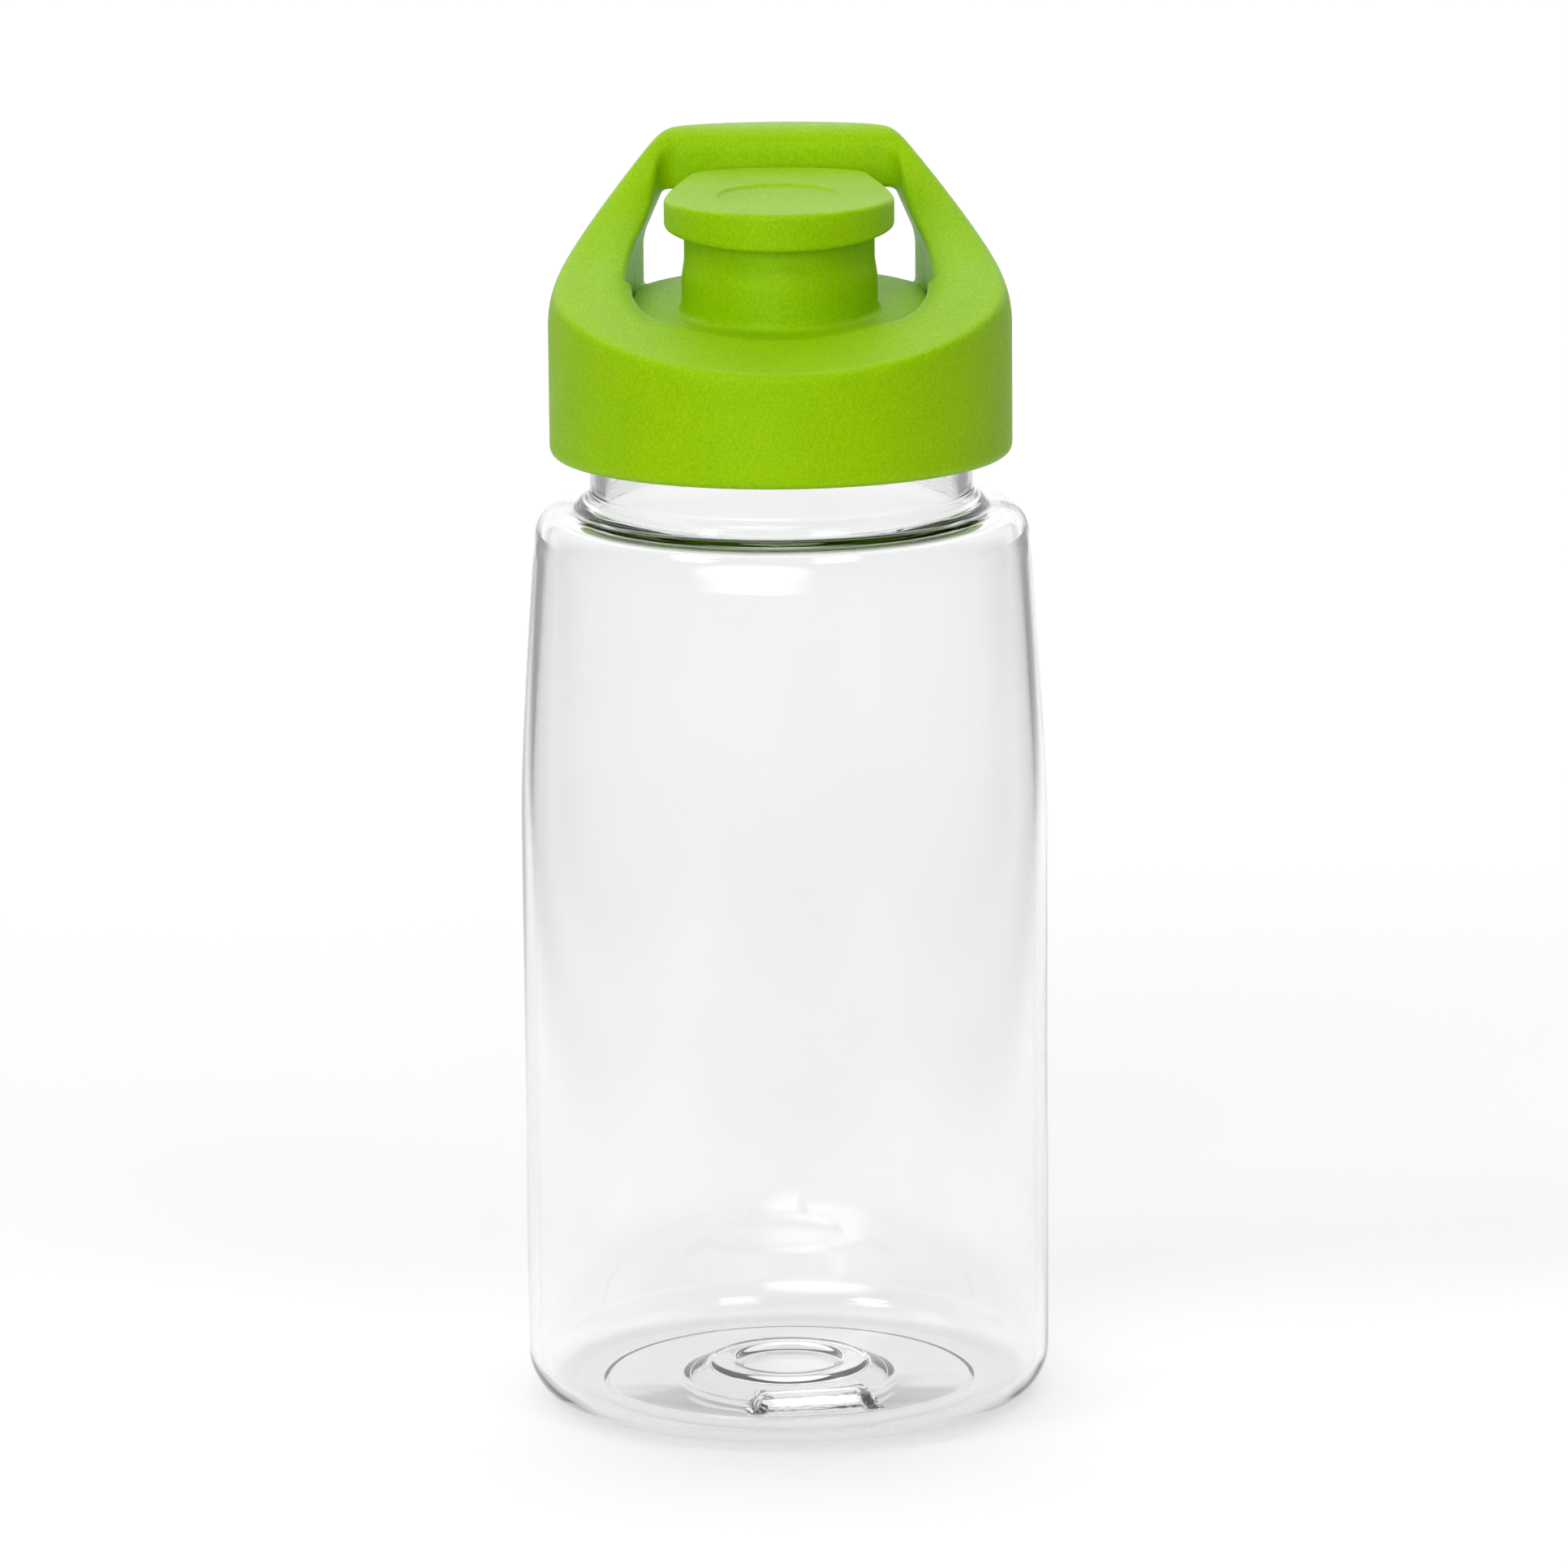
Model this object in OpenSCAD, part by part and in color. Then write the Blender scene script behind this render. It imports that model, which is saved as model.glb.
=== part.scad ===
// Children's drinking bottle: a clear bottle, and a screw lid with a carry handle, a wide
// drinking spout and a flip cover. Z points up, the front of the lid faces -Y, and the
// origin is on the axis of the bottle at the surface it stands on.

/* [Bottle] */
// Height of the body, from the surface it stands on to the shoulder
body_h = 120.3; // [100:0.5:150]
// Outside diameter of the neck, which every ring of the lid is built around
neck_d = 50.4; // [42:0.2:62]
// Height of the neck above the shoulder
neck_h = 16.9; // [14.5:0.1:21]
// Width of the shoulder, from the neck to the side of the body
shoulder_w = 7.2; // [6:0.1:9]
// How far the belly of the body stands out past the shoulder
belly_out = 2.5; // [0:0.1:6]
// Height of the widest part of the belly
belly_h = 78; // [60:1:90]
// Thickness of the bottle's wall
wall = 1.5; // [1:0.1:2.2]
// Thickness of the neck's wall
neck_wall = 1.9; // [1.5:0.1:2.4]
// Radius of the shoulder's corner
shoulder_r = 4; // [2:0.5:5]
// Radius of the corner at the foot of the body
foot_r = 6; // [4:0.5:8]
// Diameter of the round panel under the base
panel_d = 49; // [40:1:56]
// Diameter of the raised boss in the middle of the base
boss_d = 20.6; // [14:0.2:26]
// Height of the raised boss
boss_h = 4; // [2:0.5:6]

/* [Thread] */
// Rise of the thread in one turn
pitch = 6; // [5:0.25:7]
// Depth of the thread on the neck
thread_depth = 1.3; // [1:0.1:1.5]

/* [Lid] */
// Gap that shows the neck between the shoulder and the lid
cap_gap = 6.8; // [3:0.2:8]
// Thickness of the liner's threaded skirt
liner_wall = 1.45; // [1.2:0.05:2]
// Thickness of the shell's wall
shell_wall = 1.85; // [1.4:0.05:2.4]
// Thickness of the shell over the liner's seat, at the front edge
front_t = 1.6; // [1.4:0.1:4]
// Slope of the top of the lid, in degrees
slope = 16.4; // [14:0.2:20]
// Gap between the cover and the opening around it
opening_gap = 3.85; // [2:0.05:4.6]
// Slope of the deck under the spout, in degrees
deck_slope = 5.5; // [0:0.5:8]
// Height of the deck above the liner's seat, at the axis
deck_up = 5.9; // [5:0.1:7]
// Thickness of the deck
deck_t = 1.8; // [1.4:0.1:2.4]
// Thickness of the rubber ring between the neck and the lid
gasket_t = 1.5; // [1:0.1:2]

/* [Handle] */
// Clear height under the bar of the handle
finger_h = 13.1; // [10.9:0.1:18]
// Thickness of the handle's top bar, up and down
bar_t = 8; // [6:0.5:10]
// Gap between the bar and the cover when the cover stands upright
cover_swing_gap = 2; // [1.8:0.1:3]
// Half the width of the flat top of the handle
bar_half_w = 15.9; // [13:0.1:18]
// Half the width of the window at its sill
window_half_w = 18.15; // [16:0.05:19]

/* [Spout] */
// Bore of the spout
bore_d = 21; // [17:0.2:23]
// Thickness of the spout's wall
stem_wall = 2; // [1.5:0.1:2.4]
// Height of the spout's rim above the deck, at the axis
stem_h = 11.7; // [9.5:0.1:14]

/* [Cover] */
// Thickness of the cover above the hinge's axis
cover_rise = 3.6; // [3.4:0.1:4]
// How far the cover reaches past the spout, all round
cover_lip = 2.95; // [2.6:0.05:3.4]
// Thickness of the cover's top plate
plate_t = 2.2; // [1.8:0.1:2.4]
// Slope of the underside of the cover's rim, in degrees
rim_slope = 7.6; // [5:0.2:9]
// Diameter of the dimple in the cover
dimple_d = 16.8; // [10:0.2:20]
// Depth of the dimple
dimple_depth = 0.4; // [0.2:0.1:0.6]

/* [Hinge] */
// Distance from the rear of the spout back to the hinge's axis
hinge_back = 3.9; // [3.6:0.1:4.4]
// Diameter of the hinge pin
pin_d = 2; // [1.6:0.1:2.2]
// Width of the cover's knuckle between the two lugs
knuckle_w = 10; // [6:0.5:11]
// Width of each lug
lug_w = 3.2; // [2:0.1:3.4]

/* [Clearances] */
// Gap between the crest of one thread and the root of the other
thread_gap = 0.5; // [0.4:0.05:0.6]
// Gap between the liner and the shell that holds it
shell_fit = 0.15; // [0.1:0.01:0.2]
// Gap round the plug in the spout
plug_gap = 0.3; // [0.25:0.01:0.4]
// Gap round the hinge pin in the cover's knuckle
pin_gap = 0.05; // [0.03:0.01:0.08]
// Gap at each end of the knuckle, and round the rim of the spout
side_gap = 0.2; // [0.15:0.05:0.3]

/* [Hidden] */
$fn = 96;
far = 100;
lime = [0.52, 0.72, 0.05];

// The neck and the rings of the lid around it, from the inside out
neck_r = neck_d / 2;
top_r = neck_r + shoulder_w;
belly_r = top_r + belly_out;
skirt_in_r = neck_r + thread_depth + thread_gap;
skirt_r = skirt_in_r + liner_wall;
shell_in_r = skirt_r + shell_fit;
cap_r = shell_in_r + shell_wall;

// Levels, from the bottom up
cap_z = body_h + cap_gap;
rim_z = body_h + neck_h;
flange_z = rim_z + gasket_t;
flange_t = 1.7;
seat_z = flange_z + flange_t;
front_z = seat_z + front_t;
plane_z = front_z + cap_r * tan(slope);
deck_z = seat_z + deck_up;
stem_z = deck_z + stem_h;
sill_z = deck_z - 0.3;
bar_z = sill_z + finger_h;
top_z = bar_z + bar_t;
hinge_z = stem_z + side_gap;
cover_z = hinge_z + cover_rise;

// The spout, its cover and the hinge behind it
bore_r = bore_d / 2;
stem_r = bore_r + stem_wall;
hinge_y = stem_r + hinge_back;
cover_r = stem_r + cover_lip;
opening_r = cover_r + opening_gap;
bar_front = hinge_y + cover_rise + cover_swing_gap;
cover_rear_r = hinge_y + 4.2;
cover_side_y = hinge_y + 1.4;
cover_corner_x = stem_r - 1.1;
knuckle_r = pin_d / 2 + 0.9;
lug_in_x = knuckle_w / 2 + side_gap;
lug_out_x = lug_in_x + lug_w;
pin_half = lug_out_x;

// The deck's raised platform fills the opening in the shell
platform_rear_r = shell_in_r - 5.4;
platform_wall = 1.6;

// Points along an arc about c, from angle a to angle b
function arc(c, r, a, b, n = 8) = [for (i = [0:n]) c + r * [cos(a + (b - a) * i / n), sin(a + (b - a) * i / n)]];

// Points that round the corner at b, between a and c, with the radius r
function corner(a, b, c, r, n = 6) =
    let (u = (a - b) / norm(a - b))
    let (v = (c - b) / norm(c - b))
    let (half = acos(u * v) / 2)
    let (centre = b + (u + v) / norm(u + v) * r / sin(half))
    let (start = b + u * r / tan(half) - centre)
    let (end = b + v * r / tan(half) - centre)
    let (first = atan2(start.y, start.x))
    let (turn = atan2(start.x * end.y - start.y * end.x, start * end))
    arc(centre, r, first, first + turn, n);

// The outline p with the corner at each point rounded by the radius in radii
function rounded(p, radii) = [
    for (i = [0:len(p) - 1])
        each radii[i] > 0
            ? corner(p[(i + len(p) - 1) % len(p)], p[i], p[(i + 1) % len(p)], radii[i])
            : [p[i]]
];

// Radius of the body's outside at the height z, which draws in above the belly
soft = 0.25;
function draw_in(u) = (sqrt(u * u + soft * soft) - soft) / (sqrt(1 + soft * soft) - soft);
function side_r(z) = z <= belly_h ? belly_r : belly_r - belly_out * draw_in((z - belly_h) / (body_h - belly_h));
side_steps = 14;
function side(z0, z1, inset) =
    [for (i = [0:side_steps]) let (z = z0 + (z1 - z0) * i / side_steps) [side_r(z) - inset, z]];

// Body of the bottle
panel_r = panel_d / 2;
panel_z = 0.8;
boss_r = boss_d / 2;
boss_foot_r = boss_r + 3.6;
dimple_r = boss_r - 4;
shoulder_low_z = body_h - shoulder_r;
bead_r = neck_r + 2.3;
bead_h = 1.2;

module body_outside() {
    shoulder_x = side_r(shoulder_low_z);
    rotate_extrude() polygon(concat(
        [[0, boss_h - 1.6 - wall / 2], [dimple_r, boss_h - 1.6 - wall / 2], [dimple_r + 1, boss_h - wall]],
        [[boss_r, boss_h - wall], [boss_foot_r, panel_z], [panel_r, panel_z], [panel_r + 1, 0]],
        arc([belly_r - foot_r, foot_r], foot_r, -90, 0, 10),
        side(foot_r + 6, shoulder_low_z, 0),
        arc([shoulder_x - shoulder_r, shoulder_low_z], shoulder_r, 0, 90, 10),
        [[bead_r, body_h], [bead_r, body_h + bead_h], [neck_r, body_h + bead_h + 0.8]],
        [[neck_r, rim_z], [0, rim_z]]
    ));
}

module body_inside() {
    shoulder_x = side_r(shoulder_low_z);
    in_r = foot_r - wall;
    neck_in_r = neck_r - neck_wall;
    rotate_extrude() polygon(concat(
        [[0, boss_h - 1.6 + wall / 2], [dimple_r, boss_h - 1.6 + wall / 2], [dimple_r + 1, boss_h]],
        [[boss_r, boss_h], [boss_foot_r, panel_z + wall]],
        arc([belly_r - foot_r, foot_r], in_r, -90, 0, 10),
        side(foot_r + 6, shoulder_low_z, wall),
        arc([shoulder_x - shoulder_r, shoulder_low_z], shoulder_r - wall, 0, 90, 10),
        [[neck_in_r + 0.8, body_h - wall], [neck_in_r, body_h], [neck_in_r, rim_z + 1], [0, rim_z + 1]]
    ));
}

// One helical ridge on the radius root, which reaches to the radius crest
thread_root_w = 2.4;
thread_crest_w = 1.2;
steps_per_turn = 36;
module thread(root, crest, z0, turns, phase) {
    n = round(steps_per_turn * turns);
    bury = crest > root ? -0.4 : 0.4;
    section = [
        [root + bury, -thread_root_w / 2], [crest, -thread_crest_w / 2],
        [crest, thread_crest_w / 2], [root + bury, thread_root_w / 2]
    ];
    function turn_z(i) = z0 + pitch * i / steps_per_turn;
    function place(p, i) =
        let (a = phase + 360 * i / steps_per_turn)
        [p.x * cos(a), p.x * sin(a), turn_z(i) + p.y];
    points = [for (i = [0:n]) for (p = section) place(p, i)];
    flip = crest > root;
    quads = [for (i = [0:n - 1]) for (k = [0:3]) let (a = 4 * i + k) let (b = 4 * i + (k + 1) % 4)
        each flip ? [[a, b, b + 4], [a, b + 4, a + 4]] : [[b, a, b + 4], [b + 4, a, a + 4]]];
    last = 4 * n;
    caps = flip
        ? [[3, 2, 1, 0], [last, last + 1, last + 2, last + 3]]
        : [[0, 1, 2, 3], [last + 3, last + 2, last + 1, last]];
    polyhedron(points, concat(quads, caps));
}

// The neck's thread runs from just above its bead to a lead-in below its rim
thread_lead_in = 1.6;
thread_foot = 0.8;
neck_thread_z = body_h + bead_h + thread_foot + (thread_root_w / 2 + 0.8);
neck_turns = (rim_z - thread_lead_in - thread_root_w / 2 - neck_thread_z) / pitch;

module bottle_body() {
    color([0.93, 0.95, 0.96, 0.4]) {
        difference() {
            union() {
                difference() {
                    body_outside();
                    body_inside();
                }
                base_lug(wall, panel_z + wall / 2);
            }
            base_lug(0, -1);
        }
        thread(neck_r, neck_r + thread_depth, neck_thread_z, neck_turns, 0);
    }
}

// Hollow lug in the base that holds the bottle still while it is printed or capped
base_lug_w = 13.4;
base_lug_l = 4.4;
base_lug_h = 2.2;
base_lug_turn = 10;
module base_lug(grow, low_z) {
    rotate(base_lug_turn) translate([-base_lug_w / 2 - grow, -panel_r + 4.2 - grow, low_z])
        cube([base_lug_w + 2 * grow, base_lug_l + 2 * grow, panel_z + base_lug_h + grow - low_z]);
}

// The opening in the top of the shell, seen from above
opening_side_y = 11;
module opening_plan() {
    rear_x = bar_half_w - 0.3;
    circle(r = opening_r);
    polygon(rounded(
        [[-opening_r, -1], [-opening_r, opening_side_y], [-rear_x, bar_front],
         [rear_x, bar_front], [opening_r, opening_side_y], [opening_r, -1]],
        [0, 5, 1.5, 1.5, 5, 0]
    ));
}

// The platform of the deck, seen from above, made smaller by gap
module platform_plan(gap) {
    circle(r = opening_r - gap);
    intersection() {
        circle(r = platform_rear_r - gap);
        translate([-window_half_w + gap, 0]) square([2 * (window_half_w - gap), far]);
    }
}

// The side view of the lid: a straight slope that curves up into the bar of the handle
bar_front_z = top_z - 2;
ramp_turn = 2 * atan((bar_front_z - plane_z) / bar_front) - slope;
ramp_r = bar_front / (sin(ramp_turn) - sin(slope));
ramp_centre = [-ramp_r * sin(slope), plane_z + ramp_r * cos(slope)];
module side_view() {
    polygon(concat(
        [[-far, cap_z], [-far, plane_z - far * tan(slope)]],
        arc(ramp_centre, ramp_r, slope - 90, ramp_turn - 90, 16),
        [[bar_front + 2.6, top_z], [cap_r - 1.5, top_z], [cap_r + 1, top_z - 2.5], [cap_r + 1, cap_z]]
    ));
}

// The front view of the lid: upright sides that lean in above the ring
lean_z = plane_z - 1.5;
module front_view() {
    half = [[cap_r + 1, cap_z], [cap_r + 1, lean_z - 1], [bar_half_w, top_z]];
    polygon(rounded(
        [half[0], half[1], half[2], [-half[2].x, half[2].y], [-half[1].x, half[1].y], [-half[0].x, half[0].y]],
        [0, 6, 4, 4, 6, 0]
    ));
}

// The window under the bar, through which the handle is held
window_straight_h = 6.8;
window_top_half_w = window_half_w - 2.75;
module window_view() {
    polygon([
        [-window_half_w, sill_z], [window_half_w, sill_z],
        [window_half_w, sill_z + window_straight_h], [window_top_half_w, bar_z],
        [-window_top_half_w, bar_z], [-window_half_w, sill_z + window_straight_h]
    ]);
}

// A view drawn in X and Z, pushed back along Y from y0
module push_back(y0) {
    translate([0, y0, 0]) rotate([90, 0, 0]) mirror([0, 0, 1]) linear_extrude(far) children();
}

// A view drawn in Y and Z, spread along X
module spread() {
    rotate([90, 0, 90]) linear_extrude(2 * far, center = true) children();
}

edge_r = 1.2;
module lid_shell() {
    color(lime) difference() {
        intersection() {
            rotate_extrude() polygon(concat(
                [[0, cap_z]],
                arc([cap_r - edge_r, cap_z + edge_r], edge_r, -90, 0, 6),
                [[cap_r, top_z + 1], [0, top_z + 1]]
            ));
            spread() side_view();
            push_back(-far / 2) front_view();
        }
        translate([0, 0, cap_z - 1]) cylinder(r = shell_in_r, h = seat_z - cap_z + 1);
        translate([0, 0, seat_z - 1]) linear_extrude(sill_z - seat_z + 1) platform_plan(0);
        translate([0, 0, sill_z - 0.5]) linear_extrude(far) opening_plan();
        push_back(0) window_view();
    }
}

// Everything above the sloping deck, lowered by drop
module above_deck(drop) {
    translate([0, 0, deck_z - drop]) rotate([deck_slope, 0, 0])
        translate([-far, -far, 0]) cube(2 * far);
}

// One lug of the hinge, with the web that joins it to the spout
module lug(x0) {
    web_z = hinge_z - 6;
    translate([x0, 0, 0]) {
        translate([0, hinge_y, hinge_z]) rotate([0, 90, 0]) cylinder(r = knuckle_r, h = lug_w);
        rotate([90, 0, 90]) linear_extrude(lug_w) polygon([
            [bore_r + 0.4, web_z - 2], [stem_r + 0.6, web_z - 2],
            [hinge_y, hinge_z - knuckle_r], [hinge_y, hinge_z + knuckle_r],
            [hinge_y - knuckle_r, hinge_z], [hinge_y - knuckle_r, stem_z - 0.6],
            [bore_r + 0.4, stem_z - 0.6]
        ]);
    }
}

stem_foot_h = 5.5;
stem_foot_out = 0.35;
liner_thread_z = cap_z + thread_lead_in + thread_root_w / 2;
liner_turns = (rim_z - thread_foot - thread_root_w / 2 - liner_thread_z) / pitch;
liner_lip = 0.3;
module lid_liner() {
    color(lime) {
        difference() {
            union() {
                translate([0, 0, cap_z + liner_lip]) cylinder(r = skirt_r, h = seat_z - cap_z - liner_lip);
                difference() {
                    translate([0, 0, seat_z - 1]) linear_extrude(far) platform_plan(shell_fit);
                    above_deck(0);
                }
                translate([0, 0, seat_z]) cylinder(r = stem_r, h = stem_z - seat_z);
                translate([0, 0, seat_z])
                    cylinder(r = stem_r + stem_foot_out, h = deck_z + stem_foot_h - seat_z);
                lug(lug_in_x);
                lug(-lug_out_x);
            }
            translate([0, 0, cap_z - 1]) cylinder(r = skirt_in_r, h = flange_z - cap_z + 1);
            difference() {
                translate([0, 0, flange_z - 1]) linear_extrude(far) platform_plan(shell_fit + platform_wall);
                above_deck(deck_t);
            }
            translate([0, 0, flange_z]) cylinder(r = bore_r, h = stem_z);
            translate([-far / 2, hinge_y, hinge_z]) rotate([0, 90, 0]) cylinder(d = pin_d, h = far);
        }
        thread(skirt_in_r, skirt_in_r - thread_depth, liner_thread_z, liner_turns, liner_phase);
    }
}

// The two threads mesh: the liner's ridge runs midway between turns of the neck's
liner_phase = 360 * ((liner_thread_z - neck_thread_z) / pitch + 0.5);

module lid_gasket() {
    color([0.9, 0.9, 0.9]) translate([0, 0, rim_z]) difference() {
        cylinder(r = skirt_in_r - plug_gap, h = gasket_t);
        translate([0, 0, -1]) cylinder(r = neck_r - neck_wall - 0.2, h = gasket_t + 2);
    }
}

// The cover seen from above, made smaller by inset
module cover_plan(inset) {
    r = cover_r - inset;
    corner_x = cover_corner_x - inset;
    circle(r = r);
    intersection() {
        circle(r = cover_rear_r - inset);
        polygon([[-r, 0], [r, 0], [corner_x, cover_side_y], [corner_x, far],
                 [-corner_x, far], [-corner_x, cover_side_y]]);
    }
}

plug_wall_r = 4;
stud_h = 3;
rim_depth = 4.1;
plate_z = cover_z - plate_t;
flip_pocket_z = hinge_z + knuckle_r + 0.3;
pocket_rear_y = hinge_y + knuckle_r + 0.3;
module flip_cover() {
    color(lime) difference() {
        union() {
            difference() {
                translate([0, 0, cap_z]) linear_extrude(cover_z - cap_z) cover_plan(0);
                translate([0, 0, cover_z - rim_depth]) rotate([rim_slope, 0, 0])
                    translate([-far, -far, -2 * far]) cube(2 * far);
                translate([0, 0, cap_z]) cylinder(r = stem_r + 0.7, h = plate_z - cap_z);
                translate([-lug_out_x - side_gap, 0, cap_z])
                    cube([2 * (lug_out_x + side_gap), pocket_rear_y, flip_pocket_z - cap_z]);
            }
            translate([0, 0, plate_z - stud_h]) cylinder(r = plug_wall_r, h = stud_h + 0.5);
            knuckle();
        }
        translate([0, 0, cover_z - dimple_depth]) cylinder(d = dimple_d, h = 1);
        translate([-far / 2, hinge_y, hinge_z]) rotate([0, 90, 0]) cylinder(d = pin_d + 2 * pin_gap, h = far);
    }
}

module knuckle() {
    translate([-knuckle_w / 2, hinge_y, hinge_z]) rotate([0, 90, 0]) cylinder(r = knuckle_r, h = knuckle_w);
    translate([-knuckle_w / 2, hinge_y - knuckle_r, hinge_z])
        cube([knuckle_w, 2 * knuckle_r, cover_z - hinge_z - 0.5]);
}

seal_flange_r = stem_r - 0.4;
plug_depth = 3;
module cover_seal() {
    seal_bottom = stem_z + side_gap;
    plug_r = bore_r - plug_gap;
    color([0.9, 0.9, 0.9]) difference() {
        union() {
            translate([0, 0, seal_bottom]) cylinder(r = seal_flange_r, h = plate_z - seal_bottom);
            translate([0, 0, stem_z - plug_depth]) cylinder(r1 = plug_r - 0.8, r2 = plug_r, h = 1);
            translate([0, 0, stem_z - plug_depth + 1]) cylinder(r = plug_r, h = plug_depth);
        }
        translate([0, 0, stem_z - plug_depth - 1]) cylinder(r = plug_wall_r, h = plug_depth + 5);
    }
}

module hinge_pin() {
    color("silver") translate([-pin_half, hinge_y, hinge_z]) rotate([0, 90, 0])
        cylinder(d = pin_d, h = 2 * pin_half);
}

bottle_body();
lid_shell();
lid_liner();
lid_gasket();
flip_cover();
cover_seal();
hinge_pin();
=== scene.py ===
"""Kids' water bottle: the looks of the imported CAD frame.

The shapes are worked in millimetres in the row frame (Z up, the front of the lid faces -Y)
and become metres when a mesh is made. The main sizes come from the boxes of the CAD nodes.
"""

import math

import bpy
import numpy as np
from mathutils import Matrix, Vector


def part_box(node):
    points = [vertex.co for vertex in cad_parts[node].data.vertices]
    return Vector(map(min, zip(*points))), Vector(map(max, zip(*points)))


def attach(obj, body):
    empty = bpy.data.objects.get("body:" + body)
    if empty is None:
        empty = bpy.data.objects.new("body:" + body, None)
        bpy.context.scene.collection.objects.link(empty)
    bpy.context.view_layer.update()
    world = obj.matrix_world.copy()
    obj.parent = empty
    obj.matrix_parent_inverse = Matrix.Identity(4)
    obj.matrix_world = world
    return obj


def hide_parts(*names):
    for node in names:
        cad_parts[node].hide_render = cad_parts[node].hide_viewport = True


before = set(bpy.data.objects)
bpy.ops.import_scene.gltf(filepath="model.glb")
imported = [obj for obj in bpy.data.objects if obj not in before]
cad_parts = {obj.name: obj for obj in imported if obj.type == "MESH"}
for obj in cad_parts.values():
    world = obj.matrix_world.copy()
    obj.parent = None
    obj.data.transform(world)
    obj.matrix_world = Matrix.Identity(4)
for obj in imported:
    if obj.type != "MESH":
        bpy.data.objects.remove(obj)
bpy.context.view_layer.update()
MM = 0.001


def box_mm(node):
    """The lowest and highest corners of a CAD node, in millimetres."""
    low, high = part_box(node)
    return np.array(low) / MM, np.array(high) / MM


_, body_high = box_mm("bottle_body")
shell_low, shell_high = box_mm("lid_shell")
liner_low, liner_high = box_mm("lid_liner")
cover_low, cover_high = box_mm("flip_cover")
_, gasket_high = box_mm("lid_gasket")
pin_low, pin_high = box_mm("hinge_pin")

# ---------------------------------------------------------------- sizes, in millimetres

# Bottle
BELLY_R = body_high[0]
RIM_Z = body_high[2]
SHOULDER_Z = RIM_Z - 16.9
NECK_R = gasket_high[0] - 1.5
NECK_IN_R = NECK_R - 1.9
NECK_ROOT_R = 3.0
TOP_R = NECK_R + 7.2
WALL = 1.5
BELLY_Z = 78.0
DRAW_SOFT = 0.25
FOOT_R = 6.0
SHOULDER_R = 4.0
BEAD_R = NECK_R + 1.9
BOTTLE_TURNS = 192

# Base of the bottle: a boss with a dent in it, on a floor inside a fine ring
BOSS_R, BOSS_Z = 10.3, 4.0
BOSS_FOOT_R = BOSS_R + 3.6
DENT_R, DENT_Z = 6.3, 2.4
DENT_EDGE_R = DENT_R + 1
FLOOR_Z, FLOOR_IN_Z = 0.4, 0.8 + WALL
RING_IN_R, RING_OUT_R = 24.2, 24.9

# Lug raised from the floor of the base, in front of the boss
LUG_W, LUG_L, LUG_H = 13.4, 4.4, 2.2
LUG_TURN = math.radians(10)
LUG_Y = -20.3 + LUG_L / 2
LUG_SOFT = 0.9
LUG_ZONE_R, LUG_ZONE_Z = 23.4, 3.0
LUG_MESH_IN_R, LUG_MESH_OUT_R = 14.0, 24.0

# Screw thread of the neck
PITCH = 6.0
THREAD_Z = SHOULDER_Z + 4.0
THREAD_TURNS = (RIM_Z - 2.8 - THREAD_Z) / PITCH
THREAD_DEPTH = 1.3
THREAD_HALF_W = 0.9

# Lid shell
CAP_R = shell_high[0]
CAP_Z = shell_low[2]
TOP_Z = shell_high[2]
SHELL_IN_R = CAP_R - 1.85
SEAT_Z = gasket_high[2] + 1.7
SLOPE = math.radians(16.4)
PLANE_Z = SEAT_Z + 1.6 + CAP_R * math.tan(SLOPE)
DECK_Z = SEAT_Z + 5.9
DECK_SLOPE = math.radians(5.5)
SILL_Z = DECK_Z - 0.3
BAR_Z = TOP_Z - 8.0
BAR_HALF_W = 15.9
WINDOW_HALF_W = 18.15
ARM_X, ARM_END_Y, ARM_FADE = 14.5, 17.0, 7.0
EDGE_ROUND, ARM_ROUND = 0.8, 6.5

# Spout, cover and hinge
HINGE_Y = (pin_low[1] + pin_high[1]) / 2
HINGE_Z = (pin_low[2] + pin_high[2]) / 2
PIN_R = (pin_high[2] - pin_low[2]) / 2
KNUCKLE_R = PIN_R + 0.9
STEM_R = HINGE_Y - 3.9
BORE_R = STEM_R - 2.0
STEM_Z = HINGE_Z - 0.2
KNUCKLE_HALF_W = 5.0
LUG_PAIR_IN, LUG_PAIR_W = 5.2, 3.2
COVER_R = cover_high[0]
COVER_Z = cover_high[2]
COVER_REAR_R = cover_high[1]
OPENING_R = COVER_R + 3.85
BAR_FRONT = HINGE_Y + (COVER_Z - HINGE_Z) + 2.0
PLATFORM_R = SHELL_IN_R - 5.4
SLIDE_GAP = 0.15
LINER_WALL = 1.6
LINER_IN_R = NECK_R + 1.8
LINER_THREAD_Z = liner_low[2] + 2.5
LINER_THREAD_TURNS = (RIM_Z - 2.0 - LINER_THREAD_Z) / PITCH

# Flip cover
COVER_RIM_Z = COVER_Z - 4.1
RIM_SLOPE = math.radians(7.6)
TOP_TILT = math.radians(2.5)
TOP_RISE = 0.45
DIMPLE_R, DIMPLE_DEPTH = 7.9, 0.42
HOLLOW_R, HOLLOW_Z = STEM_R + 0.7, COVER_Z - 2.2
SLOT_HALF_W, SLOT_GAP = 8.6, 0.3

# Meshes of the moulded pieces: the size of a cell, and the room round a piece
CELL = 0.45
COVER_CELL = 0.6 * CELL
MARGIN = 1.2

# ---------------------------------------------------------------- distance fields


def smax(a, b, k):
    """The larger of two fields, rounded over a band k wide: an intersection with a fillet."""
    h = np.maximum(k - np.abs(a - b), 0.0) / k
    return np.maximum(a, b) + h * h * k * 0.25


def smin(a, b, k):
    """The smaller of two fields, rounded over a band k wide: a union with a fillet."""
    return -smax(-a, -b, k)


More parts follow.
